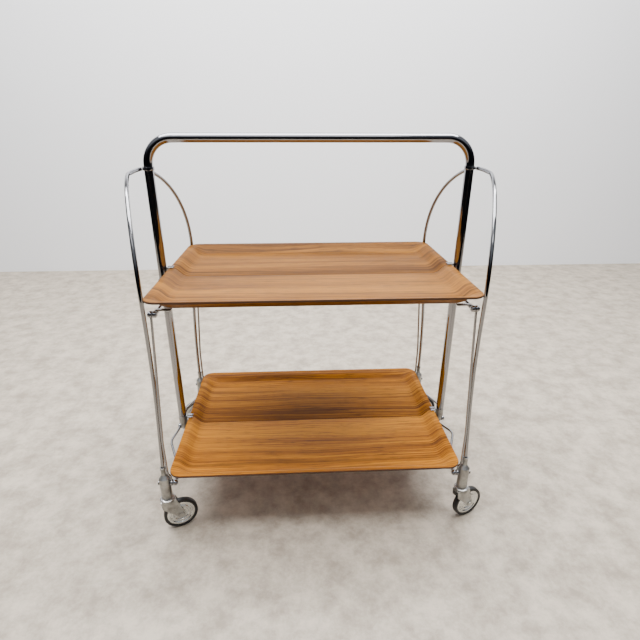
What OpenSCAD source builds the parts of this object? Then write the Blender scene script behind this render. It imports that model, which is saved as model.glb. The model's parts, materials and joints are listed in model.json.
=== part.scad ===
// Folding serving cart with two moulded plywood trays on a chromed rod frame.
// The frame stands on the floor at z = 0, the handle runs along X and the front is at -Y.
// Each tray is two halves hinged on the handle tubes. Lifting the handle lets the halves hang,
// the rod legs close below them and the leg collars run down the tubes.

/* [Trays] */
// Width of a tray over its end rims
tray_w = 600; // [560:5:600]
// Depth of an open tray over both outer rims
tray_d = 420; // [418:1:424]
// Height of the rim above the tray floor
rim_h = 20; // [16:1:24]
// Thickness of the moulded plywood
ply_t = 4; // [3:0.5:5]
// Width of the flared rim, from the floor's edge to the outer edge
rim_run = 31; // [26:1:36]
// Width of the flatter lip at the top of the flare
lip_run = 13; // [8:1:16]
// Fall of the lip across its width
lip_drop = 3; // [2:0.5:5]
// Radius of a tray's outer corners, seen from above
corner_r = 27; // [25:1:32]
// Gap between the two halves of a tray
seam_gap = 1.6; // [0.8:0.2:3]

/* [Heights] */
// Height of the lower tray's rim above the floor
lower_rim_z = 150; // [148:1:152]
// Distance from one tray's rim to the other's
tray_rise = 372; // [368:1:376]
// Height of the handle tube's centreline above the floor
handle_z = 775; // [772:1:800]

/* [Handle frame] */
// Outer diameter of the handle tube
tube_d = 18; // [16:0.5:18]
// Wall thickness of the handle tube
tube_wall = 1.5; // [1:0.25:2]
// Distance from the middle to an upright tube's axis
tube_x = 315; // [315:1:317]
// Centreline radius of the handle's bends
handle_bend_r = 50; // [46:1:52]
// Thickness of a collar's wall
collar_wall = 1.5; // [1.25:0.25:2]
// Height of a collar
collar_h = 6.5; // [6:0.5:8]

/* [Rods] */
// Distance from the tubes' plane to the outer pivots
pivot_y = 195; // [194:1:196]
// Diameter of a leg rod
leg_d = 7.5; // [7:0.5:8]
// Diameter of a link rod
link_d = 4.5; // [4:0.5:4.5]
// Diameter of the wire of a tray arm
arm_d = 5.6; // [4.8:0.2:5.6]
// Diameter of a corner pin
corner_pin_d = 7; // [6:0.5:7]

/* [Casters] */
// Diameter of a wheel over its tyre
wheel_d = 70; // [66:1:72]
// Width of a tyre
tyre_w = 12; // [10:1:13]
// Distance from the swivel axis to the axle
trail = 22; // [20:1:24]
// Diameter of a leg socket's body
socket_d = 22; // [20:1:22]
// Distance from the middle to a leg socket's axis
socket_x = 311; // [311:0.5:312]
// Angle of a caster from the X direction
caster_turn = 22.5; // [0:2.5:30]

/* [Hidden] */

$fn = 48;

// Clearances: a running fit, a gap between moving faces and the air around a loose end
run_gap = 0.06;
face_gap = 0.3;
loose_gap = 0.4;

// Heights worked out from the trays
upper_rim_z = lower_rim_z + tray_rise;
pivot_drop = rim_h + ply_t + arm_d / 2 + 0.2;
lower_pivot_z = lower_rim_z - pivot_drop;
upper_pivot_z = upper_rim_z - pivot_drop;
bend_z = handle_z - handle_bend_r;
collar_z = bend_z - collar_h / 2 - 2;

// Pins and eyes
pin_r = 3;
eye_r = 6;
arm_eye_t = arm_d + 0.6;
link_eye_t = link_d + 0.6;
stub_r = corner_pin_d / 2;
head_r = 4.4;
head_t = 2;

// Ferrule at a tube's foot
ferrule_top = lower_pivot_z + 28.7;
ferrule_tongue_z = lower_pivot_z + 8.7;
ferrule_foot = lower_pivot_z - 7.3;
tongue_t = 11;

// Places of the arms' eyes along X
outer_eye_x = tube_x + tongue_t / 2 + face_gap;
inner_eye_x = tube_x - tongue_t / 2 - face_gap - arm_eye_t;
upper_eye_x = tube_x - tube_d / 2 - face_gap - arm_eye_t;

// Links: the lower eye runs beside the socket, the rod beside the rim, the upper eye below the tray
link_low_x = socket_x - socket_d / 2 - face_gap - link_eye_t / 2;
link_side_x = tray_w / 2 + link_d / 2 + 0.65;
link_top_x = 287.6;

// Socket and caster heights
wheel_r = wheel_d / 2;
crown_z = wheel_r + 41;
crown_t = 4;
cup_z = crown_z + crown_t + face_gap;
cup_h = 6.5;
cup_r = 15;
socket_foot = cup_z + cup_h;
socket_neck_r = 5.5;
socket_shoulder_z = lower_pivot_z + 13;
socket_neck_z = lower_pivot_z + 21;
socket_top = lower_pivot_z + 39.7;
leg_foot_z = lower_pivot_z + 25;
stem_r = 4;
stem_top = lower_pivot_z - 8;
plate_t = 2;
plate_gap = 1.2;
axle_r = 3;
tyre_t = 5.5;
seat_r = wheel_r - tyre_t;

// Leg outline: bowed upright, then a rounded arch that leans out to an elbow beside the collar
leg_shoulder_x = 296;
leg_shoulder_y = 206;
leg_shoulder_z = 520;
leg_bow = 14.5;
leg_elbow_x = 337.5;
leg_elbow_y = 54;
leg_end_x = 327;
leg_end_y = 12;
arch_power = 2.07;
leg_rings = 14;
arch_rings = 18;
wire_sides = 12;

function unit(v) = v / norm(v);
function tangent(path, i) =
    unit(path[min(i + 1, len(path) - 1)] - path[max(i - 1, 0)]);
// A path whose corners become small curves that start and end a distance away from them
function toward(from, to, cut) = from + (to - from) * min(cut / norm(to - from), 0.45);
function rounded(path, cut) = [
    path[0],
    for (i = [1 : len(path) - 2])
        let (start = toward(path[i], path[i - 1], cut), stop = toward(path[i], path[i + 1], cut))
        for (t = [0 : 0.25 : 1])
            start * pow(1 - t, 2) + path[i] * 2 * t * (1 - t) + stop * pow(t, 2),
    path[len(path) - 1],
];

// A wire of radius r along a path; up is a direction that the path never takes
module wire(path, r, up) {
    count = len(path);
    points = [
        for (i = [0 : count - 1])
            let (t = tangent(path, i), a = unit(cross(up, t)), b = cross(t, a))
            for (k = [0 : wire_sides - 1])
                path[i] + r * (a * cos(360 * k / wire_sides) + b * sin(360 * k / wire_sides))
    ];
    walls = [
        for (i = [0 : count - 2], k = [0 : wire_sides - 1], half = [0, 1])
            let (n = (k + 1) % wire_sides, low = i * wire_sides, high = low + wire_sides)
            half == 0 ? [low + k, high + k, low + n] : [low + n, high + k, high + n]
    ];
    ends = [
        [for (k = [0 : wire_sides - 1]) k],
        [for (k = [wire_sides - 1 : -1 : 0]) (count - 1) * wire_sides + k],
    ];
    polyhedron(points, concat(walls, ends));
}

// A round bar along X from x0 to x1, through y and z
module bar_x(r, x0, x1, y, z) {
    translate([x0, y, z]) rotate([0, 90, 0]) cylinder(r = r, h = x1 - x0);
}

// Left pieces are mirror images of right ones
module on_side(left) {
    if (left) mirror([1, 0, 0]) children();
    else children();
}

// Rear pieces are mirror images of front ones
module on_end(rear) {
    if (rear) mirror([0, 1, 0]) children();
    else children();
}

// Handle frame -----------------------------------------------------------------------------------

// The bent tube's outline as a solid of radius r, used for the outside and the inside
module handle_path(r, foot_z) {
    straight = tube_x - handle_bend_r;
    for (left = [true, false]) on_side(left) {
        translate([tube_x, 0, foot_z]) cylinder(r = r, h = bend_z - foot_z);
        translate([straight, 0, bend_z]) rotate([90, 0, 0])
            rotate_extrude(angle = 90) translate([handle_bend_r, 0]) circle(r = r);
    }
    bar_x(r, -straight, straight, 0, handle_z);
}

module handle_tube() {
    color("gainsboro") difference() {
        handle_path(tube_d / 2, ferrule_top);
        handle_path(tube_d / 2 - tube_wall, ferrule_top - 1);
        for (left = [true, false]) on_side(left)
            bar_x(pin_r, tube_x - tube_d, tube_x + tube_d, 0, upper_pivot_z);
    }
}

// Cast plug in the tube's foot, flattened to a tongue that holds the lower pivot pin
module ferrule(left) {
    outer_r = tube_d / 2 + 0.6;
    color("silver") on_side(left) difference() {
        union() {
            intersection() {
                translate([tube_x, 0, 0]) rotate_extrude() polygon([
                    [0, ferrule_foot], [5, ferrule_foot], [outer_r, ferrule_tongue_z + 1],
                    [outer_r, ferrule_top], [0, ferrule_top],
                ]);
                union() {
                    translate([tube_x - 20, -20, ferrule_tongue_z]) cube([40, 40, 40]);
                    translate([tube_x - tongue_t / 2, -20, ferrule_foot - 1]) cube([tongue_t, 40, 40]);
                }
            }
            translate([tube_x, 0, ferrule_top]) cylinder(r = tube_d / 2 - tube_wall, h = 14);
        }
        bar_x(pin_r, tube_x - 20, tube_x + 20, 0, lower_pivot_z);
    }
}

// A headed pin along X between x0 and x1, with its heads outside that length
module headed_pin(x0, x1, z) {
    bar_x(pin_r, x0, x1, 0, z);
    bar_x(pin_r + 1.5, x0 - 1.5, x0, 0, z);
    bar_x(pin_r + 1.5, x1, x1 + 1.5, 0, z);
}

module tube_pivot_pins() {
    color("silver") for (left = [true, false]) on_side(left) {
        headed_pin(inner_eye_x - face_gap, outer_eye_x + arm_eye_t + face_gap, lower_pivot_z);
        headed_pin(upper_eye_x - arm_eye_t - 2 * face_gap, tube_x + tube_d / 2 + face_gap, upper_pivot_z);
    }
}

// Sliding collar with a lug in front and behind for the leg tops
module collar(left) {
    outer_r = tube_d / 2 + collar_wall;
    lug_h = collar_h - 2;
    lug_end = leg_end_x - leg_d / 2 - loose_gap;
    color("gainsboro") on_side(left) translate([0, 0, collar_z]) difference() {
        union() {
            translate([tube_x, 0, -collar_h / 2]) cylinder(r = outer_r, h = collar_h);
            for (end = [-1, 1])
                translate([tube_x, end * (outer_r + 1) - 2.5, -lug_h / 2])
                    cube([lug_end - tube_x, 5, lug_h]);
        }
        translate([tube_x, 0, -collar_h])
            cylinder(r = tube_d / 2 + run_gap, h = 2 * collar_h);
    }
}

// Trays ------------------------------------------------------------------------------------------

// Flare outlines as [distance in from the edge, height below the rim]
top_flare = [[0, 0], [lip_run, -lip_drop], [rim_run, -rim_h]];
under_flare = [
    [0, -ply_t], [lip_run - 0.3 * ply_t, -lip_drop - ply_t], [rim_run - 0.4 * ply_t, -rim_h - ply_t],
];

// Cross-section of the space above a flare outline, over a full width, up to a height
module flare_section(width, flare, up_to) {
    half = width / 2;
    polygon(concat(
        [for (p = flare) [-half + p[0], p[1]]],
        [for (i = [len(flare) - 1 : -1 : 0]) [half - flare[i][0], flare[i][1]]],
        [[half, up_to], [-half, up_to]]
    ));
}

// Everything above a flare outline that runs round all four sides
module dish(flare, up_to, r) {
    intersection() {
        translate([0, tray_d, 0]) rotate([90, 0, 0])
            linear_extrude(2 * tray_d) flare_section(tray_w, flare, up_to);
        translate([-tray_w, 0, 0]) rotate([90, 0, 90])
            linear_extrude(2 * tray_w) flare_section(tray_d, flare, up_to);
        translate([0, 0, -rim_h - 2 * ply_t]) linear_extrude(rim_h + 4 * ply_t) union() {
            square([tray_w - 2 * r, tray_d], center = true);
            square([tray_w, tray_d - 2 * r], center = true);
            for (x = [-1, 1], y = [-1, 1])
                translate([x * (tray_w / 2 - r), y * (tray_d / 2 - r)]) circle(r = r);
        }
    }
}

// Half a tray, cut at the seam
module tray_half(rim_z, rear, tint) {
    color(tint) on_end(rear) translate([0, 0, rim_z]) intersection() {
        difference() {
            dish(under_flare, 0, corner_r);
            dish(top_flare, 1, corner_r);
        }
        translate([-tray_w, -tray_d - seam_gap / 2, -100]) cube([2 * tray_w, tray_d, 200]);
    }
}

// Tray arms --------------------------------------------------------------------------------------

// Where the arms end: beside the corner pin, and how far out under each tray
arm_end_y = pivot_y - stub_r - 2;
lower_arm_end_x = 290;
upper_arm_end_x = 281;

// Bent wire from the tube's pivot pin out round the ferrule and in under the tray
module lower_arm(left, rear, outboard) {
    eye_x0 = outboard ? outer_eye_x : inner_eye_x;
    path = [
        [eye_x0 + arm_eye_t / 2, -4, lower_pivot_z], [eye_x0 + arm_eye_t / 2, -17, lower_pivot_z],
        [332, -60, lower_pivot_z], [312, -108, lower_pivot_z],
        [lower_arm_end_x, -158, lower_pivot_z], [lower_arm_end_x, -arm_end_y, lower_pivot_z],
    ];
    on_side(left) on_end(rear) tray_arm(path, eye_x0, lower_arm_end_x, lower_pivot_z);
}

// Bent wire from the tube's pivot pin in under the tray; the rear one sits further in
module upper_arm(left, rear) {
    eye_x0 = upper_eye_x - (rear ? arm_eye_t + face_gap : 0);
    path = [
        [eye_x0 + arm_eye_t / 2, -4, upper_pivot_z], [eye_x0 + arm_eye_t / 2, -18, upper_pivot_z],
        [upper_arm_end_x, -110, upper_pivot_z], [upper_arm_end_x, -arm_end_y, upper_pivot_z],
    ];
    on_side(left) on_end(rear) tray_arm(path, eye_x0, upper_arm_end_x, upper_pivot_z);
}

// The wire with an eye round the pivot pin and one round the corner pin
module tray_arm(path, eye_x0, end_x, z) {
    color("gainsboro") difference() {
        union() {
            wire(rounded(path, 14), arm_d / 2, [0, 0, 1]);
            bar_x(eye_r, eye_x0, eye_x0 + arm_eye_t, 0, z);
            bar_x(eye_r, end_x - arm_eye_t / 2, end_x + arm_eye_t / 2, -pivot_y, z);
        }
        bar_x(pin_r + run_gap, eye_x0 - 4, eye_x0 + arm_eye_t + 4, 0, z);
        bar_x(stub_r, end_x - arm_d, end_x + arm_d, -pivot_y, z);
    }
}

// Pins at a tray half's outer corners, from the arm's eye out to a head beyond the last eye
module corner_pins(z, rear, start, reach) {
    color("gainsboro") on_end(rear) for (left = [true, false]) on_side(left) {
        bar_x(stub_r, start, reach, -pivot_y, z);
        bar_x(head_r, reach, reach + head_t, -pivot_y, z);
    }
}

// Straps that hold a tray half to its arms, each with a screw head under the floor
strap_t = 1.4;
strap_w = 10;
strap_reach = 26;

module tray_straps(rim_z, rear, end_x) {
    under = rim_z - rim_h - ply_t;
    z = rim_z - pivot_drop;
    y0 = -pivot_y + 10;
    ring_r = arm_d / 2 + strap_t;
    color("silver") on_end(rear) for (left = [true, false]) on_side(left) difference() {
        union() {
            translate([end_x - strap_reach, y0, under - strap_t])
                cube([strap_reach, strap_w, strap_t]);
            intersection() {
                translate([end_x, y0, z]) rotate([-90, 0, 0]) cylinder(r = ring_r, h = strap_w);
                translate([end_x - 20, y0 - 20, z - 20]) cube([40, 60, under - z + 20]);
            }
            translate([end_x - strap_reach + 6, y0 + strap_w / 2, under - strap_t - 1.6])
                cylinder(r = 3.4, h = 1.6);
        }
        translate([end_x, y0 - 1, z]) rotate([-90, 0, 0]) cylinder(r = arm_d / 2, h = strap_w + 2);
    }
}

// Catches: small bent plates over the rim beside the seam that reach to the tube
catch_w = 6;
catch_t = 1.5;

module seam_catches(rim_z, rear) {
    reach = tube_x - tube_d / 2 - 1.2;
    y0 = -seam_gap / 2 - 1 - catch_w;
    color("gainsboro") on_end(rear) for (left = [true, false]) on_side(left) {
        translate([tray_w / 2 - 9, y0, rim_z + 0.1]) cube([reach - tray_w / 2 + 9, catch_w, catch_t]);
        translate([reach - catch_t, y0, rim_z - 8]) cube([catch_t, catch_w, 8 + 0.1]);
    }
}

// Links ------------------------------------------------------------------------------------------

// Rod with an eye on the lower corner pin and one on the upper corner pin
module link(left, rear) {
    path = [
        [link_low_x, -pivot_y, lower_pivot_z + 5], [link_low_x, -pivot_y, lower_pivot_z + 16.5],
        [link_side_x, -pivot_y, lower_pivot_z + 22], [link_side_x, -pivot_y, lower_pivot_z + 100],
        [link_top_x, -pivot_y, upper_pivot_z - 12], [link_top_x, -pivot_y, upper_pivot_z - 5],
    ];
    eyes = [[link_low_x, lower_pivot_z], [link_top_x, upper_pivot_z]];
    color("gainsboro") on_side(left) on_end(rear) difference() {
        union() {
            wire(path, link_d / 2, [0, 1, 0]);
            for (eye = eyes)
                bar_x(eye_r, eye[0] - link_eye_t / 2, eye[0] + link_eye_t / 2, -pivot_y, eye[1]);
        }
        for (eye = eyes)
            bar_x(stub_r + run_gap, eye[0] - link_d, eye[0] + link_d, -pivot_y, eye[1]);
    }
}

// Legs -------------------------------------------------------------------------------------------

// How far out a leg stands where its arch is y from the tubes' plane
function leg_x_at(y) =
    y > leg_elbow_y
        ? let (part = (y - leg_elbow_y) / (leg_shoulder_y - leg_elbow_y))
          leg_elbow_x + (leg_shoulder_x - leg_elbow_x) * pow(part, 1.17)
        : leg_end_x + (leg_elbow_x - leg_end_x) * (y - leg_end_y) / (leg_elbow_y - leg_end_y);

// The upright, from the socket to the arch: it leans in a little at the top and bows inwards
function upright_point(t) = [
    socket_x + (leg_shoulder_x - socket_x) * pow(t, 1.3),
    -(pivot_y + (leg_shoulder_y - pivot_y) * t - leg_bow * sin(180 * t)),
    leg_foot_z + (leg_shoulder_z - leg_foot_z) * t,
];

// The arch's height above the shoulder as a part of its full height
function arch_rise(y) = pow(1 - pow(y / leg_shoulder_y, arch_power), 1 / arch_power);

// The arch, at an angle from 0 at the shoulder to nearly 90 at the collar
function arch_point(a) =
    let (y = leg_shoulder_y * cos(a))
    [leg_x_at(y), -y,
     leg_shoulder_z + (collar_z - leg_shoulder_z) * arch_rise(y) / arch_rise(leg_end_y)];
arch_end = acos(leg_end_y / leg_shoulder_y);

module leg(left, rear) {
    path = concat(
        [for (i = [0 : leg_rings]) upright_point(i / leg_rings)],
        [for (i = [1 : arch_rings]) arch_point(arch_end * i / arch_rings)]
    );
    color("gainsboro") on_side(left) on_end(rear) wire(path, leg_d / 2, [1, 0, 0]);
}

// Cast socket: takes the leg at its neck, the corner pin across it and the caster stem from below
module socket(left, rear) {
    color("darkgray") on_side(left) on_end(rear) difference() {
        translate([socket_x, -pivot_y, 0]) rotate_extrude() polygon([
            [0, socket_foot], [socket_d / 2, socket_foot], [socket_d / 2, socket_shoulder_z],
            [socket_neck_r - 0.7, socket_neck_z], [socket_neck_r - 0.7, socket_top - 5],
            [socket_neck_r, socket_top - 4], [socket_neck_r, socket_top], [0, socket_top],
        ]);
        translate([socket_x, -pivot_y, leg_foot_z - 0.2]) cylinder(r = leg_d / 2 + 0.25, h = 60);
        bar_x(stub_r + run_gap, socket_x - 20, socket_x + 20, -pivot_y, lower_pivot_z);
        translate([socket_x, -pivot_y, 0]) cylinder(r = stem_r + run_gap, h = stem_top + 1);
    }
}

// Swivel cups between the sockets and the forks
module swivel_cups(rear) {
    color("silver") on_end(rear) for (left = [true, false]) on_side(left) difference() {
        translate([socket_x, -pivot_y, 0]) rotate_extrude() polygon([
            [0, cup_z], [cup_r - 1.5, cup_z], [cup_r, cup_z + 1.5], [cup_r, cup_z + 3.5],
            [cup_r - 2, cup_z + 4.7], [9.5, cup_z + 4.7], [9.5, cup_z + cup_h], [0, cup_z + cup_h],
        ]);
        translate([socket_x, -pivot_y, 0]) cylinder(r = stem_r + run_gap, h = 200);
    }
}

// Casters ----------------------------------------------------------------------------------------

// Puts a caster, built with its stem on Z and its trail along +X, under a socket
module at_caster(left, rear) {
    turn = rear ? (left ? 180 + caster_turn : -caster_turn) : caster_turn;
    x = left ? -socket_x : socket_x;
    y = rear ? pivot_y : -pivot_y;
    translate([x, y, 0]) rotate([0, 0, turn]) children();
}

// Side plate outline in the plane of the wheel: wide at the crown, round at the axle
module plate_outline() {
    polygon([
        [-15, crown_z + crown_t / 2], [16, crown_z + crown_t / 2], [trail + 7.4, wheel_r + 3],
        [trail - 4, wheel_r - 6.9], [trail - 11, wheel_r + 2], [-13, crown_z - 14],
    ]);
    translate([trail, wheel_r]) circle(r = 8);
}

// Pressed fork: round crown, two side plates and the stem
module fork(left, rear) {
    inner = tyre_w / 2 + plate_gap;
    color("darkgray") at_caster(left, rear) difference() {
        union() {
            translate([0, 0, crown_z]) cylinder(r = cup_r - 0.5, h = crown_t);
            translate([-15, -inner - plate_t, crown_z]) cube([31, 2 * (inner + plate_t), crown_t]);
            for (y = [-inner, inner + plate_t]) translate([0, y, 0]) rotate([90, 0, 0])
                linear_extrude(plate_t) plate_outline();
            translate([0, 0, crown_z]) cylinder(r = stem_r, h = stem_top - crown_z);
        }
        translate([trail, 30, wheel_r]) rotate([90, 0, 0]) cylinder(r = axle_r, h = 60);
    }
}

module axle(left, rear) {
    outer = tyre_w / 2 + plate_gap + plate_t;
    color("silver") at_caster(left, rear) translate([trail, 0, wheel_r]) rotate([90, 0, 0]) {
        translate([0, 0, -outer]) cylinder(r = axle_r, h = 2 * outer);
        translate([0, 0, outer]) cylinder(r = axle_r + 2, h = 2);
        translate([0, 0, -outer - 2]) cylinder(r = axle_r + 2, h = 2);
    }
}

// Puts a profile drawn as [radius, width] round the wheel's axle
module spun(left, rear) {
    at_caster(left, rear) translate([trail, 0, wheel_r]) rotate([90, 0, 0])
        rotate_extrude() children();
}

// One side of the wheel disc from the bore out, as [radius, width]: a boss and two grooved rings
hub_side = [
    [axle_r + run_gap, -tyre_w / 2], [9, -tyre_w / 2], [10.5, 2 - tyre_w / 2],
    [15.5, 2 - tyre_w / 2], [16.5, 1 - tyre_w / 2], [20.5, 1 - tyre_w / 2], [21.5, 2 - tyre_w / 2],
    [23, 2 - tyre_w / 2], [24, 1 - tyre_w / 2], [28, 1 - tyre_w / 2], [seat_r, 1.6 - tyre_w / 2],
];

// Pressed wheel disc
module hub(left, rear) {
    color("lightgray") spun(left, rear) polygon(concat(
        hub_side, [for (i = [len(hub_side) - 1 : -1 : 0]) [hub_side[i][0], -hub_side[i][1]]]
    ));
}

module tyre(left, rear) {
    half = tyre_w / 2;
    color("black") spun(left, rear) polygon([
        [seat_r, -half], [wheel_r - 1.5, -half], [wheel_r, -half + 2], [wheel_r, half - 2],
        [wheel_r - 1.5, half], [seat_r, half],
    ]);
}

// Nodes ------------------------------------------------------------------------------------------

handle_tube();
tube_pivot_pins();
for (left = [true, false]) {
    side = left ? "left" : "right";
    ferrule(left);
    collar(left);
}
for (rear = [false, true]) {
    end = rear ? "rear" : "front";
    tray_half(lower_rim_z, rear, "peru");
    tray_half(upper_rim_z, rear, "tan");
    corner_pins(lower_pivot_z, rear, lower_arm_end_x - 5, socket_x + socket_d / 2 + face_gap);
    corner_pins(upper_pivot_z, rear, upper_arm_end_x - 5, link_top_x + link_eye_t / 2 + face_gap);
    tray_straps(lower_rim_z, rear, lower_arm_end_x);
    tray_straps(upper_rim_z, rear, upper_arm_end_x);
    seam_catches(lower_rim_z, rear);
    seam_catches(upper_rim_z, rear);
    swivel_cups(rear);
    for (left = [true, false]) {
        side = left ? "left" : "right";
        lower_arm(left, rear, left != rear);
        upper_arm(left, rear);
        link(left, rear);
        leg(left, rear);
        socket(left, rear);
        fork(left, rear);
        axle(left, rear);
        hub(left, rear);
        tyre(left, rear);
    }
}
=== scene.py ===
# %% [markdown]
# # A folding serving cart
# Two moulded plywood trays hang on a chromed tube and rod frame that folds. The frame is a CAD
# model that already has its true sizes and joints. This lesson gives it its looks: veneer, chrome,
# cast zinc and rubber, and the soft edges and bends that the plain CAD solids leave out.

# %% Load the frame
import json
import math

import bmesh
import bpy
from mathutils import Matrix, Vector


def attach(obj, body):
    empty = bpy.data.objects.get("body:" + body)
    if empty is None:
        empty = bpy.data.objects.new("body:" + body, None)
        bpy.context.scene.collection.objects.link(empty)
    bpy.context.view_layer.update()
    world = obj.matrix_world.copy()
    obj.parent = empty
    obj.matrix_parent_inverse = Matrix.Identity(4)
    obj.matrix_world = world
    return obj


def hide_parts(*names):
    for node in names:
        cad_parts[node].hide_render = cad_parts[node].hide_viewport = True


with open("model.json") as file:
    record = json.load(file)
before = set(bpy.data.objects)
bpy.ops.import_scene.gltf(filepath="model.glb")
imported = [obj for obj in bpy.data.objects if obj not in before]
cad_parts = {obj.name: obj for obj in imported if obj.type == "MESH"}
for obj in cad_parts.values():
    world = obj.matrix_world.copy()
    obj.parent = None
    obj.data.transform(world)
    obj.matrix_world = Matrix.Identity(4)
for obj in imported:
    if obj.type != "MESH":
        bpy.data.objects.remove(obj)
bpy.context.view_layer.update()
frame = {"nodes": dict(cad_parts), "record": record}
nodes = frame["nodes"]
slots = {part["node"]: part["material_slot"] for part in frame["record"]["subparts"]}
bodies = frame["record"]["behaviour"]["bodies"]
body_of = {node: body for body, members in bodies.items() for node in members}

# %% [markdown]
# ## Camera
# The camera stands close to the cart, about as high as a seated person's eyes, and looks down on
# it. The lens is wide, which makes the near edge of each tray clearly longer than the far edge.

# %% Camera
bpy.ops.object.select_all(action="DESELECT")
bpy.ops.object.camera_add(
    location=(-0.0334, -0.9383, 0.7945),
    rotation=(math.radians(66.99), math.radians(-0.1), math.radians(-3.01)),
)
camera = bpy.context.object
camera.data.lens = 25.6
camera.data.sensor_width = 36
bpy.context.scene.camera = camera
print("camera at", tuple(camera.location))

# %% [markdown]
# ## Small helpers
# Colours are written as on a colour card, in hex, and turned to linear light in one place. One
# function adds a shader node with its settings and its links.

# %% Helpers for materials


def colour(card):
    """A hex colour as linear red, green, blue and alpha."""
    parts = [int(card[i : i + 2], 16) / 255 for i in (0, 2, 4)]
    return [p / 12.92 if p <= 0.04045 else ((p + 0.055) / 1.055) ** 2.4 for p in parts] + [1.0]


def add(tree, kind, inputs=None, stops=(), **settings):
    """A node with its settings; an input takes a value or another node's socket.

    The stops are for a colour ramp: pairs of a place and a hex colour.
    """
    node = tree.nodes.new("ShaderNode" + kind)
    for name, value in settings.items():
        setattr(node, name, value)
    for name, value in (inputs or {}).items():
        if isinstance(value, bpy.types.NodeSocket):
            tree.links.new(value, node.inputs[name])
        else:
            node.inputs[name].default_value = value
    if stops:
        elements = node.color_ramp.elements
        while len(elements) < len(stops):
            elements.new(0.5)
        for element, (at, card) in zip(elements, stops):
            element.position = at
            element.color = colour(card)
    return node


def new_material(name, **inputs):
    """A material with one Principled shader and the object's own coordinates."""
    material = bpy.data.materials.new(name)
    material.use_nodes = True
    tree = material.node_tree
    shader = tree.nodes["Principled BSDF"]
    for label, value in inputs.items():
        shader.inputs[label.replace("_", " ")].default_value = value
    place = add(tree, "TexCoord").outputs["Object"]
    return material, tree, shader, place


def grain(tree, place, scale, detail=2.0, rough=0.5, move=(0, 0, 0)):
    """Noise on a mapping of its own, with a scale for each axis in features per metre."""
    mapped = add(tree, "Mapping", {"Vector": place, "Location": move, "Scale": scale})
    noise = add(tree, "TexNoise", {"Vector": mapped.outputs["Vector"], "Scale": 1.0,
                                   "Detail": detail, "Roughness": rough})
    return noise.outputs["Fac"]


print("helpers ready")

# %% [markdown]
# ## Chrome
# Decorative chrome is a hard bright plate over polished steel: almost a mirror, a little cool.
# Years of handling leave a faint haze, so the roughness wanders by a little under a tenth in
# patches some 30 mm across, and a very weak bump keeps the reflections from being perfect lines.

# %% Chrome plate


def chrome(name, card, rough):
    material, tree, shader, place = new_material(name, Metallic=1.0, Base_Color=colour(card))
    haze = grain(tree, place, (35, 35, 35), detail=4)
    rough_map = add(tree, "MapRange", {"Value": haze, "From Min": 0.35, "From Max": 0.75,
                                       "To Min": rough, "To Max": rough + 0.09})
    tree.links.new(rough_map.outputs["Result"], shader.inputs["Roughness"])
    ripple = grain(tree, place, (90, 90, 90), detail=3)
    bump = add(tree, "Bump", {"Height": ripple, "Strength": 0.05, "Distance": 0.001})
    tree.links.new(bump.outputs["Normal"], shader.inputs["Normal"])
    return material


chrome_tube = chrome("chrome plated tube", "98989C", 0.05)
chrome_rod = chrome("chrome plated rod", "8E8E91", 0.08)
print("made", chrome_tube.name, "and", chrome_rod.name)

# %% [markdown]
# ## Cast zinc, zinc plate and pressed discs
# The sockets and forks are die-cast zinc: grey, satin, with a fine orange-peel skin about 1 mm
# across and darker dirt in patches. Small steel parts carry thin zinc plate, which is a little
# brighter. The wheel discs are pressed from sheet steel and carry the brightest, smoothest plate.

# %% Grey metals


def grey_metal(name, light, dark, rough, skin_per_m, skin_depth):
    material, tree, shader, place = new_material(name, Metallic=0.85)
    stain = grain(tree, place, (60, 60, 60), detail=5, rough=0.6)
    skin_colour = add(tree, "ValToRGB", {"Fac": stain}, [(0.35, dark), (0.65, light)])
    tree.links.new(skin_colour.outputs["Color"], shader.inputs["Base Color"])
    rough_map = add(tree, "MapRange", {"Value": stain, "To Min": rough + 0.1,
                                       "To Max": rough - 0.1})
    tree.links.new(rough_map.outputs["Result"], shader.inputs["Roughness"])
    skin = grain(tree, place, (skin_per_m,) * 3, detail=3)
    bump = add(tree, "Bump", {"Height": skin, "Strength": 0.35, "Distance": skin_depth})
    tree.links.new(bump.outputs["Normal"], shader.inputs["Normal"])
    return material


cast_zinc = grey_metal("die cast zinc", "B4B4B1", "868683", 0.32, 900, 0.0003)
zinc_plate = grey_metal("zinc plated steel", "C4C4C2", "A09F9B", 0.30, 700, 0.0001)
disc_plate = grey_metal("pressed disc with zinc plate", "EAECE9", "D2D4D1", 0.20, 300, 0.00003)
print("made", cast_zinc.name, zinc_plate.name, disc_plate.name)

# %% [markdown]
# ## Rubber
# Solid black rubber has soft, broad highlights. Dust makes it greyer in patches.

# %% Rubber
rubber, tree, shader, place = new_material("solid black rubber", Roughness=0.52, IOR=1.52)
dust = grain(tree, place, (120, 120, 120), detail=5, rough=0.7)
black = add(tree, "ValToRGB", {"Fac": dust}, [(0.45, "0B0B0C"), (0.8, "1E1E1E")])
tree.links.new(black.outputs["Color"], shader.inputs["Base Color"])
bump = add(tree, "Bump", {"Height": dust, "Strength": 0.2, "Distance": 0.0003})
tree.links.new(bump.outputs["Normal"], shader.inputs["Normal"])
print("made", rubber.name)

# %% [markdown]
# ## Teak veneer
# The trays are moulded from thin plies with a teak face, cut so that the grain runs along the
# cart. Four things make teak look like teak, and each is a noise stretched along X:
# - broad bands of lighter and darker wood, 15 to 40 mm wide and longer than half a metre;
# - growth lines a few millimetres apart, which wander a little;
# - a few dark brown streaks;
# - short dark pores, under a millimetre wide. They are drawn about 2 mm wide so that they show.
#
# A satin lacquer lies over it all.

# %% Veneer


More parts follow.
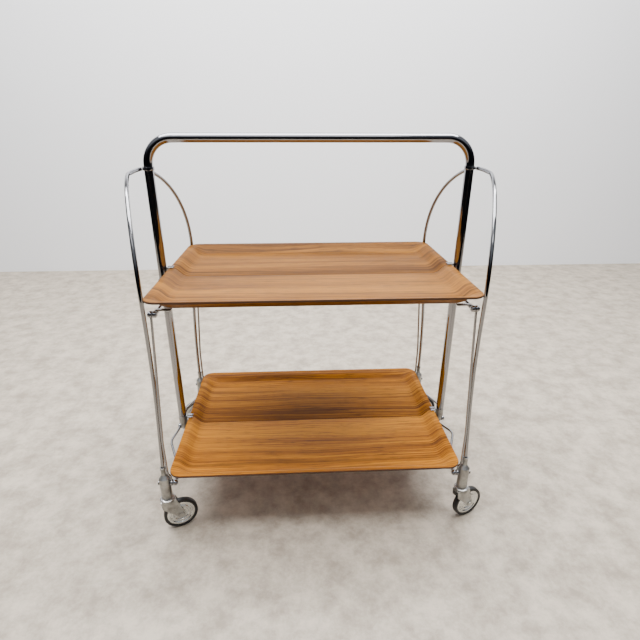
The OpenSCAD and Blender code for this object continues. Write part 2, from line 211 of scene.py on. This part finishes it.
def veneer(name, light, mid, dark, streak, shift):
    """Teak from three wood colours and one for streaks; the shift picks a place in the log."""
    material, tree, shader, place = new_material(name, IOR=1.45, Specular_IOR_Level=0.11)
    sway = grain(tree, place, (2.5, 9, 1), detail=1, move=shift)
    sway_m = add(tree, "MapRange", {"Value": sway, "To Min": -0.014, "To Max": 0.014})
    sideways = add(tree, "CombineXYZ", {"Y": sway_m.outputs["Result"]})
    moved = add(tree, "VectorMath", {0: place, 1: sideways.outputs["Vector"]}, operation="ADD")
    wood = moved.outputs["Vector"]
    bands = grain(tree, wood, (1.1, 34, 1), detail=3, move=shift)
    lines = grain(tree, wood, (2.6, 270, 3), detail=5, rough=0.75, move=shift)
    pores = grain(tree, wood, (26, 560, 9), detail=2, rough=0.6, move=shift)
    streaks = grain(tree, wood, (1.5, 95, 2), detail=2, move=(3.7, 1.3, 0.4))
    mixed = add(tree, "Mix", {"Factor": 0.62, "A": bands, "B": lines}, data_type="FLOAT")
    base = add(tree, "ValToRGB", {"Fac": mixed.outputs["Result"]},
               [(0.42, dark), (0.5, mid), (0.58, light)]).outputs["Color"]
    for mark, start, stop, depth in ((streaks, 0.60, 0.72, 0.6), (pores, 0.54, 0.70, 0.7)):
        mask = add(tree, "MapRange", {"Value": mark, "From Min": start, "From Max": stop,
                                      "To Max": depth})
        marked = add(tree, "MixRGB", {"Fac": mask.outputs["Result"], "Color1": base,
                                      "Color2": colour(streak)})
        base = marked.outputs["Color"]
    tree.links.new(base, shader.inputs["Base Color"])
    rough = add(tree, "MapRange", {"Value": lines, "To Min": 0.40, "To Max": 0.55})
    tree.links.new(rough.outputs["Result"], shader.inputs["Roughness"])
    bump = add(tree, "Bump", {"Height": lines, "Strength": 0.12, "Distance": 0.0006})
    tree.links.new(bump.outputs["Normal"], shader.inputs["Normal"])
    return material


# The rear sheets get darker colours than the front sheets. That darkening is painted shade: it
# stands for the shadow of the upper tray on the rear of the lower tray and for the dimmer light on
# the rear flares.
sheets = {
    "upper_front": veneer("teak veneer, pale front sheet", "925F1C", "764810", "54320B", "2E1B08",
                          (0.2, 0.1, 0.0)),
    "upper_rear": veneer("teak veneer, pale rear sheet, darkened as painted shade", "85561A", "6A400D", "492A08", "261606",
                         (2.6, 0.9, 0.3)),
    "lower_front": veneer("teak veneer, golden front sheet", "C67F12", "A5620A", "714008", "3E2208",
                          (1.4, 0.7, 0.3)),
    "lower_rear": veneer("teak veneer, golden rear sheet, darkened as painted shade", "AD6E14", "90560B", "643909", "371E08",
                         (5.3, 2.75, 0.3)),
}
ply_edge, tree, shader, place = new_material("stained plywood edge", Roughness=0.55)
plies = grain(tree, place, (4, 300, 900), detail=2)
stained = add(tree, "ValToRGB", {"Fac": plies}, [(0.35, "2E1A0D"), (0.65, "5B3719")])
tree.links.new(stained.outputs["Color"], shader.inputs["Base Color"])
print("made", len(sheets), "sheets of veneer and", ply_edge.name)

# %% [markdown]
# ## Helpers for modelling
# Operators act on whatever is selected, so everything is deselected first. Edges and faces are
# then picked in code, by where they are.

# %% Helpers for modelling


def pick(kind, test):
    """In edit mode, selects only the vertices, edges or faces that pass a test."""
    mesh = bmesh.from_edit_mesh(bpy.context.object.data)
    for seq in (mesh.faces, mesh.edges, mesh.verts):
        for item in seq:
            item.select = False
    bpy.context.tool_settings.mesh_select_mode = (kind == "verts", kind == "edges", kind == "faces")
    for item in getattr(mesh, kind):
        if test(item):
            item.select_set(True)
    bmesh.update_edit_mesh(bpy.context.object.data)


def select_only(*pieces):
    """Selects these pieces and nothing else, with the first one active."""
    bpy.ops.object.select_all(action="DESELECT")
    for piece in pieces:
        piece.select_set(True)
    bpy.context.view_layer.objects.active = pieces[0]


def settle(piece, name, material, angle=30):
    """Names and smooths a finished piece, gives it its material, moves its place into its mesh."""
    piece.name = name
    piece.data.name = name
    piece.data.materials.clear()
    piece.data.materials.append(material)
    select_only(piece)
    bpy.ops.object.transform_apply(location=True, rotation=True, scale=True)
    bpy.ops.object.shade_smooth_by_angle(angle=math.radians(angle))
    return piece


def round_edges(piece, width, sharper_than):
    """Bevels the edges that turn by more than so many degrees, and applies all modifiers."""
    bevel = piece.modifiers.new("edge", "BEVEL")
    bevel.width = width
    bevel.segments = 2
    bevel.limit_method = "ANGLE"
    bevel.angle_limit = math.radians(sharper_than)
    select_only(piece)
    for modifier in list(piece.modifiers):
        bpy.ops.object.modifier_apply(modifier=modifier.name)


def join(pieces):
    """Joins pieces into the first one."""
    select_only(*pieces)
    bpy.ops.object.join()
    return pieces[0]


print("modelling helpers ready")

# %% [markdown]
# ## Trays
# Each half tray is one moulded sheet, 4 mm thick: a flat floor, a wall that rises at 45 degrees and
# a flat lip, with all the bends rounded by the mould. It is made the way it looks: a plane for the
# floor with rounded corners, its three outer edges extruded up and out twice, and a bevel along
# each bend. The seam edge is never extruded, so the halves meet flat. A solidify modifier then
# gives the sheet its thickness and puts the stained ply edge on the cut. All sizes are in metres.

# %% Trays
tray_half_w, tray_half_d = 0.300, 0.210  # half the tray's width, and the whole of a half's depth
seam_y = 0.0008  # from the middle of the tray to the edge of a half
floor_in, lip_in, rim_in = 0.031, 0.013, 0.0008  # how far in the floor, lip and rim end
wall_rise, lip_rise = 0.017, 0.003
floor_drop = 0.020  # from the rim down to the floor
floor_corner_r = 0.022
ply = 0.004
close = 1e-5


def at_height(edge, z):
    return all(abs(v.co.z - z) < close for v in edge.verts)


def at_seam(edge):
    return all(abs(abs(v.co.y) - seam_y) < close for v in edge.verts)


def tray_half(name, rim_z, rear, material):
    """One moulded half tray with its rim at a height."""
    sign = 1 if rear else -1
    floor_w, floor_d = tray_half_w - floor_in, tray_half_d - floor_in
    depth = floor_d - seam_y
    floor_z = rim_z - floor_drop
    bpy.ops.object.select_all(action="DESELECT")
    bpy.ops.mesh.primitive_plane_add(size=1, location=(0, sign * (seam_y + depth / 2), floor_z))
    piece = bpy.context.object
    piece.scale = (2 * floor_w, depth, 1)
    bpy.ops.object.transform_apply(location=True, rotation=True, scale=True)
    bpy.ops.object.mode_set(mode="EDIT")
    pick("verts", lambda v: abs(v.co.y) > floor_d / 2)
    bpy.ops.mesh.bevel(offset=floor_corner_r, segments=9, affect="VERTICES")
    for inset, rise in ((lip_in, wall_rise), (rim_in, lip_rise)):
        mesh = bmesh.from_edit_mesh(piece.data)
        top = max(v.co.z for v in mesh.verts)
        now_w = max(v.co.x for v in mesh.verts)
        now_d = max(abs(v.co.y) for v in mesh.verts)
        pick("edges", lambda e: e.is_boundary and not at_seam(e) and at_height(e, top))
        bpy.ops.mesh.extrude_edges_move()
        wide = (tray_half_w - inset) / now_w
        deep = (tray_half_d - inset - seam_y) / (now_d - seam_y)
        bpy.ops.transform.resize(value=(wide, deep, 1), center_override=(0, sign * seam_y, 0))
        bpy.ops.transform.translate(value=(0, 0, rise))
    for level, width, steps in ((floor_z, 0.008, 5), (rim_z - lip_rise, 0.0045, 4)):
        pick("edges", lambda e: not at_seam(e) and at_height(e, level))
        bpy.ops.mesh.bevel(offset=width, segments=steps, affect="EDGES")
    pick("faces", lambda f: True)
    bpy.ops.mesh.normals_make_consistent(inside=False)
    mesh = bmesh.from_edit_mesh(piece.data)
    floor = max(mesh.faces, key=lambda f: f.calc_area())
    if floor.normal.z < 0:
        bpy.ops.mesh.flip_normals()
    bpy.ops.object.mode_set(mode="OBJECT")
    settle(piece, name, material)
    piece.data.materials.append(ply_edge)
    solid = piece.modifiers.new("thickness", "SOLIDIFY")
    solid.thickness = ply
    solid.offset = -1
    solid.use_even_offset = True
    solid.material_offset_rim = 1
    round_edges(piece, 0.0006, 50)
    return piece


for level, rim_z in (("upper", 0.522), ("lower", 0.150)):
    for end in ("front", "rear"):
        piece = tray_half(f"{level}_{end}_moulding", rim_z, end == "rear", sheets[f"{level}_{end}"])
        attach(piece, f"{level}_{end}")
        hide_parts(f"{level}_{end}_tray")
        print(piece.name, len(piece.data.polygons), "faces")

# %% [markdown]
# ## Bent rods and tube
# The frame is bent from straight stock. In Blender a path with a round bevel does the same job:
# the path is the centre line, and turning it into a mesh gives an even tube with capped ends.

# %% Rod helper


def rod(name, points, radius, material):
    """A round rod along a centre line, with capped ends."""
    bpy.ops.object.select_all(action="DESELECT")
    bpy.ops.curve.primitive_nurbs_path_add(location=(0, 0, 0))
    piece = bpy.context.object
    curve = piece.data
    curve.splines.clear()
    spline = curve.splines.new("POLY")
    spline.points.add(len(points) - 1)
    for point, at in zip(spline.points, points):
        point.co = (*at, 1)
    spline.use_smooth = True
    curve.dimensions = "3D"
    curve.bevel_depth = radius
    curve.bevel_resolution = 6
    curve.use_fill_caps = True
    bpy.ops.object.convert(target="MESH")
    return settle(bpy.context.object, name, material, angle=50)


def rounded(path, bend):
    """A path whose corners are replaced by arcs that start and end a distance away from them."""
    out = [Vector(path[0])]
    for before, corner, after in zip(path, path[1:], path[2:]):
        before, corner, after = Vector(before), Vector(corner), Vector(after)
        cut_in = min(bend, (corner - before).length * 0.45)
        cut_out = min(bend, (after - corner).length * 0.45)
        start = corner + (before - corner).normalized() * cut_in
        stop = corner + (after - corner).normalized() * cut_out
        for step in range(9):
            t = step / 8
            out.append(start * (1 - t) ** 2 + corner * 2 * t * (1 - t) + stop * t**2)
    out.append(Vector(path[-1]))
    return out


def mirrored(points, left, rear):
    """Points given for the front right corner, moved to another corner."""
    return [(-p[0] if left else p[0], -p[1] if rear else p[1], p[2]) for p in points]


# %% Handle
tube_x, tube_top, bend_r, tube_foot, tube_r = 0.315, 0.775, 0.050, 0.152, 0.009
bend = [
    (tube_x - bend_r + bend_r * math.cos(math.radians(a)), 0,
     tube_top - bend_r + bend_r * math.sin(math.radians(a)))
    for a in range(0, 91, 5)
]
path = [(tube_x, 0, tube_foot)] + bend
path = path + [(-x, y, z) for x, y, z in reversed(path)]
handle = rod("bent_handle", path, tube_r, chrome_tube)
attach(handle, "handle_frame")
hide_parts("handle_tube")
print(handle.name, len(handle.data.polygons), "faces")

# %% [markdown]
# ## Legs
# A leg rod stands in its socket, bows in beside the trays, and then arches over and leans out to an
# elbow, from where it runs in to the collar. Its centre line follows the same curve as the CAD leg.

# %% Legs
pivot_y, lower_pivot, upper_pivot = 0.195, 0.123, 0.495
leg_foot, shoulder, collar_z = 0.148, 0.520, 0.71975
shoulder_x, shoulder_y, socket_x = 0.296, 0.206, 0.311
elbow_x, elbow_y, leg_end_x, leg_end_y = 0.3375, 0.054, 0.327, 0.012
arch_power = 2.07  # 2 would be a plain ellipse
rod_r, bow = 0.00375, 0.0145
stem_steps, arch_steps = 32, 36


def leg_x(y):
    """How far out the arch stands: it leans out to the elbow, then runs in to the collar."""
    if y > elbow_y:
        part = (y - elbow_y) / (shoulder_y - elbow_y)
        return elbow_x + (shoulder_x - elbow_x) * part**1.17
    return leg_end_x + (elbow_x - leg_end_x) * (y - leg_end_y) / (elbow_y - leg_end_y)


def arch_rise(y):
    """The height of the arch at a depth, as a part of a full quarter arch."""
    return (1 - (y / shoulder_y) ** arch_power) ** (1 / arch_power)


def leg_points():
    """The centre line of the front right leg, from its socket to its collar."""
    points = []
    for step in range(stem_steps + 1):
        t = step / stem_steps
        points.append((
            socket_x + (shoulder_x - socket_x) * t**1.3,
            -(pivot_y + (shoulder_y - pivot_y) * t - bow * math.sin(math.pi * t)),
            leg_foot + (shoulder - leg_foot) * t,
        ))
    last = math.acos(leg_end_y / shoulder_y)
    for step in range(1, arch_steps + 1):
        y = shoulder_y * math.cos(last * step / arch_steps)
        rise = arch_rise(y) / arch_rise(leg_end_y)
        points.append((leg_x(y), -y, shoulder + (collar_z - shoulder) * rise))
    return points


for end in ("front", "rear"):
    for side in ("left", "right"):
        path = mirrored(leg_points(), side == "left", end == "rear")
        piece = rod(f"{end}_{side}_arched_rod", path, rod_r, chrome_rod)
        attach(piece, f"{end}_legs")
        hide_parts(f"{end}_leg_{side}")
print("four legs")

# %% [markdown]
# ## Turned pieces
# Eyes, wheel discs and tyres are round. Each is a profile of (radius, height) points, spun round
# the Z axis, given small rounded edges and then laid where it belongs.

# %% Turned pieces


def turned(name, profile, material, at, turn, edge, steps):
    """A profile spun in steps; edge is the width of its rounded edges, or 0 to leave them."""
    bpy.ops.object.select_all(action="DESELECT")
    bpy.ops.mesh.primitive_circle_add(vertices=len(profile), fill_type="NOTHING",
                                      location=(0, 0, 0))
    piece = bpy.context.object
    for vertex, (radius, height) in zip(piece.data.vertices, profile):
        vertex.co = (radius, 0, height)
    bpy.ops.object.mode_set(mode="EDIT")
    bpy.ops.mesh.select_all(action="SELECT")
    bpy.ops.mesh.spin(steps=steps, angle=2 * math.pi, center=(0, 0, 0), axis=(0, 0, 1))
    bpy.ops.mesh.select_all(action="SELECT")
    bpy.ops.mesh.remove_doubles(threshold=0.000001)
    bpy.ops.mesh.normals_make_consistent(inside=False)
    bpy.ops.object.mode_set(mode="OBJECT")
    if edge:
        round_edges(piece, edge, 35)
    piece.location = at
    piece.rotation_euler = turn
    return settle(piece, name, material)


eye_r = 0.006


def eye(at, bore, thick):
    """An eye on the end of a rod, round a pin along X."""
    half = thick / 2
    profile = [(bore, -half), (eye_r, -half), (eye_r, half), (bore, half)]
    return turned("eye", profile, chrome_rod, at, (0, math.radians(90), 0), edge=0.0007, steps=32)


# %% [markdown]
# ## Arms and links
# An arm is a bent wire with an eye round the tube's pivot pin and another round a corner pin. The
# lower arms swing out round the tube's foot with two sharp knees. A link is a thinner rod that
# joins the corner of a lower half to the corner of the upper half above it.

# %% Arms
wire_r, wire_bend, arm_eye_t = 0.0028, 0.014, 0.0062
tube_pin_bore, corner_pin_bore = 0.00306, 0.0035


def arm(name, node, path, left, rear, body):
    """A bent wire between two eyes, one round a tube's pin and one round a corner pin."""
    pieces = [rod(name, mirrored(rounded(path, wire_bend), left, rear), wire_r, chrome_rod)]
    for (x, _, z), y, bore in ((path[0], 0, tube_pin_bore), (path[-1], -pivot_y, corner_pin_bore)):
        at = mirrored([(x, y, z)], left, rear)[0]
        pieces.append(eye(at, bore, arm_eye_t))
    piece = join(pieces)
    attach(piece, body)
    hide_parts(node)


# A front arm and a rear arm share each pin, so their eyes stand at different places along it.
for end in ("front", "rear"):
    for side in ("left", "right"):
        left, rear = side == "left", end == "rear"
        start = 0.3239 if left != rear else 0.3061
        bends = [(start, -0.004), (start, -0.017), (0.332, -0.060), (0.312, -0.108),
                 (0.290, -0.158), (0.290, -0.1895)]
        arm(f"lower_{end}_{side}_bent_arm", f"lower_{end}_arm_{side}",
            [(x, y, lower_pivot) for x, y in bends], left, rear, f"lower_{end}")
        start = 0.2961 if rear else 0.3026
        bends = [(start, -0.004), (start, -0.018), (0.281, -0.110), (0.281, -0.1895)]
        arm(f"upper_{end}_{side}_bent_arm", f"upper_{end}_arm_{side}",
            [(x, y, upper_pivot) for x, y in bends], left, rear, f"upper_{end}")
print("eight arms")

# %% Links
low_x, side_x, top_x = 0.29715, 0.3029, 0.2876
link_r, link_bend, link_eye_bore, link_eye_t = 0.00225, 0.006, 0.00356, 0.0051
link_path = [
    (low_x, -pivot_y, lower_pivot + 0.005), (low_x, -pivot_y, lower_pivot + 0.0165),
    (side_x, -pivot_y, lower_pivot + 0.022), (side_x, -pivot_y, lower_pivot + 0.100),
    (top_x, -pivot_y, upper_pivot - 0.012), (top_x, -pivot_y, upper_pivot - 0.005),
]
for end in ("front", "rear"):
    for side in ("left", "right"):
        left, rear = side == "left", end == "rear"
        path = mirrored(rounded(link_path, link_bend), left, rear)
        pieces = [rod(f"{end}_{side}_link_rod", path, link_r, chrome_rod)]
        for x, z in ((low_x, lower_pivot), (top_x, upper_pivot)):
            at = mirrored([(x, -pivot_y, z)], left, rear)[0]
            pieces.append(eye(at, link_eye_bore, link_eye_t))
        piece = join(pieces)
        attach(piece, f"{end}_links")
        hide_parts(f"{end}_link_{side}")
print("four links")

# %% [markdown]
# ## Wheels
# A pressed disc with a boss and two grooves, and a solid tyre with rounded shoulders.

# %% Wheels
wheel_r, half_w, seat_r = 0.035, 0.006, 0.0295
trail = 0.022  # how far each wheel stands from the axis that its caster swivels on
caster_heading = math.radians(22.5)
side_profile = [
    (0.0031, half_w), (0.0085, half_w), (0.0100, half_w - 0.0035), (0.0150, half_w - 0.0035),
    (0.0165, half_w - 0.001), (0.0195, half_w - 0.001), (0.0210, half_w - 0.0032),
    (0.0228, half_w - 0.0032), (0.0245, half_w - 0.001), (0.0280, half_w - 0.001),
    (seat_r - 0.0001, half_w - 0.0016),
]
disc_profile = side_profile + [(radius, -height) for radius, height in reversed(side_profile)]
shoulder_r = 0.0022
tyre_profile = [(seat_r, -half_w), (seat_r, half_w)]
for tilt, first in ((1, 90), (-1, 0)):
    for step in range(6):
        angle = math.radians(first - 18 * step)
        tyre_profile.append((wheel_r - shoulder_r + shoulder_r * math.cos(angle),
                             tilt * (half_w - shoulder_r) + shoulder_r * math.sin(angle)))
for end in ("front", "rear"):
    for side in ("left", "right"):
        x, y, _ = mirrored([(socket_x, -pivot_y, 0)], side == "left", end == "rear")[0]
        heading = caster_heading
        if end == "rear":
            heading = math.pi + heading if side == "left" else -heading
        at = (x + trail * math.cos(heading), y + trail * math.sin(heading), wheel_r)
        turn = (math.radians(90), 0, heading)
        disc = turned(f"{end}_{side}_disc", disc_profile, disc_plate, at, turn, edge=0.0003,
                      steps=72)
        tyre = turned(f"{end}_{side}_solid_tyre", tyre_profile, rubber, at, turn, edge=0, steps=72)
        for piece, part, slot in ((disc, "hub", "wheel_disc"), (tyre, "tyre", "tyre_rubber")):
            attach(piece, f"{end}_{side}_wheel")
            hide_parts(f"{end}_{side}_{part}")
print("four wheels")

# %% [markdown]
# ## Castings and small steel parts
# The sockets, forks, ferrules, collars, pins, straps and catches have the right shape already, but
# every edge is knife sharp. Each is copied, its seams are merged, and its edges are rounded by
# about half a millimetre, or by a quarter on the thin straps.

# %% Castings and small steel parts
soft_edges = {
    "socket": (cast_zinc, 0.0005), "fork": (cast_zinc, 0.0006), "ferrule": (cast_zinc, 0.0005),
    "swivel_cups": (zinc_plate, 0.0004), "axle": (zinc_plate, 0.0004),
    "straps": (zinc_plate, 0.00025), "tube_pivot_pins": (zinc_plate, 0.0004),
    "collar": (chrome_tube, 0.0005), "corner_pins": (chrome_rod, 0.0006),
    "catches": (chrome_rod, 0.0004),
}


def softened(node, material, width):
    """A copy of a CAD part with rounded edges."""
    piece = bpy.data.objects.new(f"{node}_finished", nodes[node].data.copy())
    bpy.context.collection.objects.link(piece)
    select_only(piece)
    if piece.data.has_custom_normals:
        bpy.ops.mesh.customdata_custom_splitnormals_clear()
    bpy.ops.object.mode_set(mode="EDIT")
    bpy.ops.mesh.select_all(action="SELECT")
    bpy.ops.mesh.remove_doubles(threshold=0.00001)
    bpy.ops.mesh.dissolve_limited(angle_limit=math.radians(2))
    bpy.ops.object.mode_set(mode="OBJECT")
    round_edges(piece, width, 40)
    return settle(piece, piece.name, material, angle=35)


count = 0
for node in sorted(nodes):
    for part, (material, width) in soft_edges.items():
        if part in node:
            piece = softened(node, material, width)
            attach(piece, body_of[node])
            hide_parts(node)
            count += 1
            break
print("rounded the edges of", count, "parts")

# %% [markdown]
# ## Surroundings
# A pale floor and a pale wall. Chrome shows what stands round it, so the room matters: the floor
# ends behind the camera and at the sides, and the world is dark near the horizon and bright above,
# which gives the tubes their dark edges. Seen directly, the world is as pale as the wall. One wide
# lamp overhead throws the soft shadow under the cart and draws the white line along the handle. A
# second lamp lights the wall, and a weak one in front fills the shadows.

# %% Floor and backdrop
bpy.ops.object.select_all(action="DESELECT")
bpy.ops.mesh.primitive_plane_add(size=1, location=(0, 0.35, 0))
floor = bpy.context.object
floor.name = "floor"
floor.scale = (6, 3.4, 1)
bpy.ops.object.transform_apply(location=True, rotation=True, scale=True)
floor_paint, tree, shader, place = new_material("pale floor", Roughness=0.55)
speckle = grain(tree, place, (16, 16, 16), detail=10, rough=0.75)
stone = add(tree, "ValToRGB", {"Fac": speckle}, [(0.38, "94897A"), (0.62, "BFB3A2")])
tree.links.new(stone.outputs["Color"], shader.inputs["Base Color"])
floor.data.materials.append(floor_paint)
bpy.ops.mesh.primitive_plane_add(size=6, location=(0, 1.75, 3), rotation=(math.radians(90), 0, 0))
wall = bpy.context.object
wall.name = "backdrop"
wall_paint = new_material("pale backdrop", Roughness=0.9, Base_Color=colour("F1F2F5"))[0]
wall.data.materials.append(wall_paint)
print("floor and backdrop")

# %% Lights
world = bpy.data.worlds.new("soft room")
bpy.context.scene.world = world
world.use_nodes = True
tree = world.node_tree
background = tree.nodes["Background"]
way = add(tree, "TexCoord").outputs["Generated"]
up = add(tree, "SeparateXYZ", {"Vector": way}).outputs["Z"]
sky = add(tree, "ValToRGB", {"Fac": up},
          [(0.0, "1C1C20"), (0.25, "3A3B40"), (0.5, "D8DCE4"), (1.0, "F2F4F8")])
seen = add(tree, "LightPath").outputs["Is Camera Ray"]
shown = add(tree, "MixRGB", {"Fac": seen, "Color1": sky.outputs["Color"],
                             "Color2": colour("DCDDE0")})
tree.links.new(shown.outputs["Color"], background.inputs["Color"])
background.inputs["Strength"].default_value = 0.55


def soft_light(name, at, size, aim, watts):
    """A rectangular lamp that shines from one place towards another."""
    bpy.ops.object.light_add(type="AREA", location=at)
    lamp = bpy.context.object
    lamp.name = name
    lamp.data.shape = "RECTANGLE"
    lamp.data.size, lamp.data.size_y = size
    lamp.data.energy = watts
    lamp.rotation_euler = (Vector(aim) - Vector(at)).to_track_quat("-Z", "Y").to_euler()


soft_light("ceiling", (0, 0.0, 2.7), (3.4, 1.8), (0, 0.1, 0), 205)
soft_light("wall washer", (0, 0.5, 2.7), (3.6, 0.4), (0, 1.75, 1.2), 85)
soft_light("front", (-0.3, -1.9, 2.6), (2.4, 0.5), (0, -0.7, 0.0), 10)
print("lights ready")

# %% [markdown]
# ## The CAD parts underneath
# Every CAD part is hidden under a finished piece by now. Each still gets the finish of its own
# slot, so that none is left grey wherever the plain parts are used.

# %% Materials for the CAD parts
finishes = {
    "chrome_tube": chrome_tube, "chrome_rod": chrome_rod, "cast_metal": cast_zinc,
    "zinc_steel": zinc_plate, "upper_plywood": sheets["upper_front"],
    "lower_plywood": sheets["lower_front"], "wheel_disc": disc_plate, "tyre_rubber": rubber,
}
for name, node in nodes.items():
    for slot in node.material_slots:
        slot.material = finishes[slots[name]]
print("finished", len(nodes), "CAD nodes")
